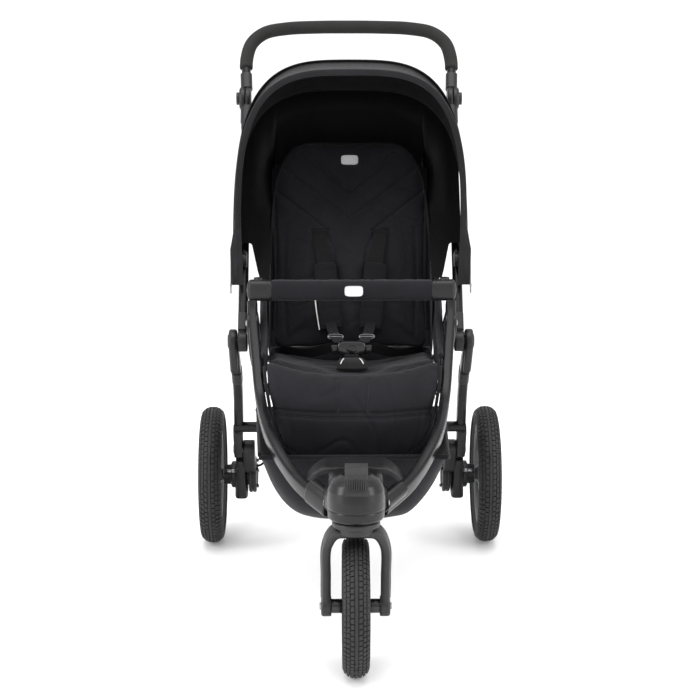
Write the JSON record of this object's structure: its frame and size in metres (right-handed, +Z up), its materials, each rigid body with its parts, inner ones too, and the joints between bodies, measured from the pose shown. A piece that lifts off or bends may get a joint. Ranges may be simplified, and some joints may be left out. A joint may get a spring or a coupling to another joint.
{
  "type": "baby stroller",
  "caption": "Three-wheel jogging stroller with arched grip, round canopy, padded seat and padded bumper bar, black.",
  "frame": {"origin": "middle of the footprint box, on the ground", "axes": "+Z up, the child faces -Y, +X is the child's left"},
  "size_m": [0.629, 1.08, 1.1004],
  "materials": {
    "frame_paint": "satin",
    "plastic": "satin",
    "gloss_plastic": "gloss",
    "seat_fabric": "matt",
    "canopy_fabric": "matt",
    "webbing": "matt",
    "grip_foam": "matt",
    "tyre": "matt",
    "rim_plastic": "satin",
    "steel": "satin"
  },
  "bodies": {
    "front_frame": {"front_tube_left": "frame_paint", "front_tube_right": "frame_paint", "fold_hub_left": "plastic", "fold_hub_right": "plastic", "nose_housing": "gloss_plastic", "footrest": "plastic", "seat_pan": "plastic", "seat_cushion": "seat_fabric", "calf_pad": "seat_fabric", "crotch_pad": "seat_fabric", "buckle_body": "gloss_plastic", "basket": "seat_fabric", "side_wing_left": "seat_fabric", "side_wing_right": "seat_fabric"},
    "lock_lever": {"swivel_lock_lever": "plastic"},
    "buckle_release": {"buckle_button": "plastic"},
    "bar": {"bumper_bar_core": "seat_fabric", "bumper_bar_end_left": "plastic", "bumper_bar_end_right": "plastic"},
    "bar_release_left": {"bar_release_button_left": "plastic"},
    "bar_release_right": {"bar_release_button_right": "plastic"},
    "front_fork": {"fork": "gloss_plastic", "front_axle": "steel"},
    "front_wheel": {"front_rim": "rim_plastic", "front_tyre": "tyre"},
    "handle_frame": {"handle_tube_left": "frame_paint", "handle_tube_right": "frame_paint", "tilt_housing_left": "plastic", "tilt_housing_right": "plastic", "canopy_pivot_left": "plastic", "canopy_pivot_right": "plastic", "canopy_rear_panel": "canopy_fabric", "canopy_rear_drape": "canopy_fabric"},
    "handle_grip": {"handle_bar": "frame_paint", "handle_foam": "grip_foam"},
    "tilt_release_left": {"tilt_button_left": "plastic"},
    "tilt_release_right": {"tilt_button_right": "plastic"},
    "canopy_mid": {"canopy_mid_panel": "canopy_fabric"},
    "canopy_front": {"canopy_front_panel": "canopy_fabric", "canopy_front_bow": "plastic"},
    "rear_legs": {"rear_leg_left": "frame_paint", "rear_leg_right": "frame_paint", "rear_crossbar": "frame_paint", "brake_cable": "webbing"},
    "swing_arm_left": {"suspension_arm_left": "plastic"},
    "swing_arm_right": {"suspension_arm_right": "plastic"},
    "rear_wheel_left": {"rear_rim_left": "rim_plastic", "rear_tyre_left": "tyre"},
    "rear_wheel_right": {"rear_rim_right": "rim_plastic", "rear_tyre_right": "tyre"},
    "brake_bolt_left": {"brake_pin_left": "steel"},
    "brake_bolt_right": {"brake_pin_right": "steel"},
    "brake_lever": {"brake_pedal": "plastic"},
    "seat_hub": {"recline_shaft": "steel"},
    "seat_back": {"seat_back_board": "plastic", "back_cushion": "seat_fabric", "shoulder_harness_left": "webbing", "shoulder_harness_right": "webbing"}
  },
  "joints": [
    {"name": "frame_fold", "type": "hinge", "parent": "front_frame", "child": "handle_frame", "pos_m": [0, 0.14, 0.478], "axis": [1, 0, 0], "range_deg": [0, 80]},
    {"name": "handle_tilt", "type": "hinge", "parent": "handle_frame", "child": "handle_grip", "pos_m": [0, 0.42, 0.94], "axis": [1, 0, 0], "range_deg": [-45, 45]},
    {"name": "tilt_press_left", "type": "slide", "parent": "handle_grip", "child": "tilt_release_left", "axis": [-1, 0, 0], "range_m": [0, 0.003], "stiffness_N_per_m": 300, "springref_m": -0.004},
    {"name": "tilt_press_right", "type": "slide", "parent": "handle_grip", "child": "tilt_release_right", "axis": [1, 0, 0], "range_m": [0, 0.003], "stiffness_N_per_m": 300, "springref_m": -0.004},
    {"name": "canopy_fold", "type": "hinge", "parent": "handle_frame", "child": "canopy_mid", "pos_m": [0, 0.2, 0.632], "axis": [-1, 0, 0], "range_deg": [0, 15.8]},
    {"name": "canopy_front_fold", "type": "hinge", "parent": "canopy_mid", "child": "canopy_front", "pos_m": [0, 0.2, 0.632], "axis": [-1, 0, 0], "range_deg": [0, 15.8]},
    {"name": "rear_leg_fold", "type": "hinge", "parent": "front_frame", "child": "rear_legs", "pos_m": [0, 0.14, 0.478], "axis": [1, 0, 0], "range_deg": [-72, 0], "deforming": ["basket"]},
    {"name": "suspension_left", "type": "hinge", "parent": "rear_legs", "child": "swing_arm_left", "pos_m": [0.234, 0.338, 0.214], "axis": [1, 0, 0], "range_deg": [0, 10], "stiffness_Nm_per_rad": 60, "springref_deg": -6.88},
    {"name": "suspension_right", "type": "hinge", "parent": "rear_legs", "child": "swing_arm_right", "pos_m": [-0.234, 0.338, 0.214], "axis": [1, 0, 0], "range_deg": [0, 10], "stiffness_Nm_per_rad": 60, "springref_deg": -6.88},
    {"name": "rear_spin_left", "type": "hinge", "parent": "swing_arm_left", "child": "rear_wheel_left", "pos_m": [0.291, 0.39, 0.145], "axis": [1, 0, 0], "continuous": true},
    {"name": "rear_spin_right", "type": "hinge", "parent": "swing_arm_right", "child": "rear_wheel_right", "pos_m": [-0.291, 0.39, 0.145], "axis": [1, 0, 0], "continuous": true},
    {"name": "brake_press", "type": "hinge", "parent": "swing_arm_left", "child": "brake_lever", "pos_m": [0.191, 0.412, 0.16], "axis": [-1, 0, 0], "range_deg": [0, 22]},
    {"name": "brake_bolt_slide_left", "type": "slide", "parent": "swing_arm_left", "child": "brake_bolt_left", "axis": [1, 0, 0], "range_m": [0, 0.024]},
    {"name": "brake_bolt_slide_right", "type": "slide", "parent": "swing_arm_right", "child": "brake_bolt_right", "axis": [-1, 0, 0], "range_m": [0, 0.024]},
    {"name": "fork_swivel", "type": "hinge", "parent": "front_frame", "child": "front_fork", "pos_m": [0, -0.459, 0.3], "axis": [0, 0, 1], "continuous": true},
    {"name": "front_spin", "type": "hinge", "parent": "front_fork", "child": "front_wheel", "pos_m": [0, -0.419, 0.121], "axis": [1, 0, 0], "continuous": true},
    {"name": "swivel_lock_flip", "type": "hinge", "parent": "front_frame", "child": "lock_lever", "pos_m": [0, -0.467, 0.377], "axis": [-1, 0, 0], "range_deg": [0, 20]},
    {"name": "recline_hub_turn", "type": "hinge", "parent": "front_frame", "child": "seat_hub", "pos_m": [0, 0.21, 0.43], "axis": [1, 0, 0], "range_deg": [0, 40], "deforming": ["side_wing_left", "side_wing_right"]},
    {"name": "recline", "type": "hinge", "parent": "seat_hub", "child": "seat_back", "pos_m": [0, 0.21, 0.43], "axis": [-1, 0, 0], "range_deg": [0, 30]},
    {"name": "bar_lift", "type": "slide", "parent": "front_frame", "child": "bar", "axis": [0, 0, 1], "range_m": [0, 0.04]},
    {"name": "bar_press_left", "type": "slide", "parent": "bar", "child": "bar_release_left", "axis": [0, 0, -1], "range_m": [0, 0.003], "stiffness_N_per_m": 300, "springref_m": -0.004},
    {"name": "bar_press_right", "type": "slide", "parent": "bar", "child": "bar_release_right", "axis": [0, 0, -1], "range_m": [0, 0.003], "stiffness_N_per_m": 300, "springref_m": -0.004},
    {"name": "buckle_press", "type": "slide", "parent": "front_frame", "child": "buckle_release", "axis": [0, 1, 0], "range_m": [0, 0.003], "stiffness_N_per_m": 300, "springref_m": -0.004}
  ],
  "couplings": [
    {"joint": "rear_leg_fold", "follows": "frame_fold", "ratio": -0.9},
    {"joint": "recline_hub_turn", "follows": "frame_fold", "ratio": 0.5},
    {"joint": "canopy_front_fold", "follows": "canopy_fold", "ratio": 1},
    {"joint": "brake_bolt_slide_left", "follows": "brake_press", "m_per_rad": 0.0625},
    {"joint": "brake_bolt_slide_right", "follows": "brake_press", "m_per_rad": 0.0625}
  ]
}
